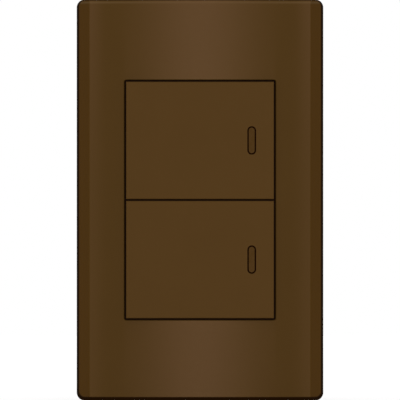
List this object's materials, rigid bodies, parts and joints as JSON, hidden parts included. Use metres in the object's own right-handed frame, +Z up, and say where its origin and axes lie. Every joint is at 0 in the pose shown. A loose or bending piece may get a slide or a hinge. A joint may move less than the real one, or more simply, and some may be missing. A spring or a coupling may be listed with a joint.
{
  "type": "two-gang light switch",
  "caption": "Tall brown wall switch plate with a crowned face and wide rocker keys one above the other, each with a slim lens slot, over a frame for a wall box and rocker mechanisms behind.",
  "frame": {"origin": "middle of the two box-screw slots, on the frame's back face, which lies on the wall", "axes": "+Z up the wall, +X to the right, +Y into the wall; the keys face -Y"},
  "size_m": [0.0738, 0.0363, 0.12],
  "materials": {
    "plate_brown": "satin moulded",
    "key_brown": "fine satin",
    "lens_brown": "smoked brown",
    "frame_plastic": "moulded",
    "housing_plastic": "moulded",
    "base_plastic": "thermoset",
    "plunger_plastic": "natural",
    "spring_steel": "drawn wire",
    "contact_brass": "stamped sheet",
    "contact_silver": "silver contact",
    "plated_steel": "zinc plated"
  },
  "bodies": {
    "base": {"cover_plate": "plate_brown", "mounting_frame": "frame_plastic", "upper_housing": "housing_plastic", "upper_terminal_base": "base_plastic", "upper_common_terminal": "contact_brass", "upper_load_terminal": "contact_brass", "upper_fixed_contact_tip": "contact_silver", "upper_terminal_screws": "plated_steel", "upper_terminal_clamps": "plated_steel", "lower_housing": "housing_plastic", "lower_terminal_base": "base_plastic", "lower_common_terminal": "contact_brass", "lower_load_terminal": "contact_brass", "lower_fixed_contact_tip": "contact_silver", "lower_terminal_screws": "plated_steel", "lower_terminal_clamps": "plated_steel"},
    "upper_rocker": {"upper_key": "key_brown", "upper_indicator_lens": "lens_brown", "upper_plunger_spring": "spring_steel"},
    "upper_plunger": {"upper_plunger": "plunger_plastic"},
    "upper_contact": {"upper_moving_contact": "contact_brass", "upper_moving_contact_tip": "contact_silver"},
    "lower_rocker": {"lower_key": "key_brown", "lower_indicator_lens": "lens_brown", "lower_plunger_spring": "spring_steel"},
    "lower_plunger": {"lower_plunger": "plunger_plastic"},
    "lower_contact": {"lower_moving_contact": "contact_brass", "lower_moving_contact_tip": "contact_silver"}
  },
  "joints": [
    {"name": "upper_rock", "type": "hinge", "parent": "base", "child": "upper_rocker", "pos_m": [0, -0.0047, 0.0178], "axis": [0, 0, 1], "range_deg": [-3.5, 3.5]},
    {"name": "upper_seesaw", "type": "hinge", "parent": "base", "child": "upper_contact", "pos_m": [0, 0.0089, 0.0178], "axis": [0, 0, 1], "range_deg": [-9.8, 9.8]},
    {"name": "upper_plunger_slide", "type": "slide", "parent": "upper_rocker", "child": "upper_plunger", "axis": [0, -1, 0], "range_m": [0, 0.001], "stiffness_N_per_m": 400, "springref_m": -0.0015, "deforming": ["upper_plunger_spring"]},
    {"name": "lower_rock", "type": "hinge", "parent": "base", "child": "lower_rocker", "pos_m": [0, -0.0047, -0.0178], "axis": [0, 0, 1], "range_deg": [-3.5, 3.5]},
    {"name": "lower_seesaw", "type": "hinge", "parent": "base", "child": "lower_contact", "pos_m": [0, 0.0089, -0.0178], "axis": [0, 0, 1], "range_deg": [-9.8, 9.8]},
    {"name": "lower_plunger_slide", "type": "slide", "parent": "lower_rocker", "child": "lower_plunger", "axis": [0, -1, 0], "range_m": [0, 0.001], "stiffness_N_per_m": 400, "springref_m": -0.0015, "deforming": ["lower_plunger_spring"]}
  ],
  "couplings": [
    {"joint": "upper_seesaw", "follows": "upper_rock", "ratio": -2.8},
    {"joint": "lower_seesaw", "follows": "lower_rock", "ratio": -2.8}
  ]
}
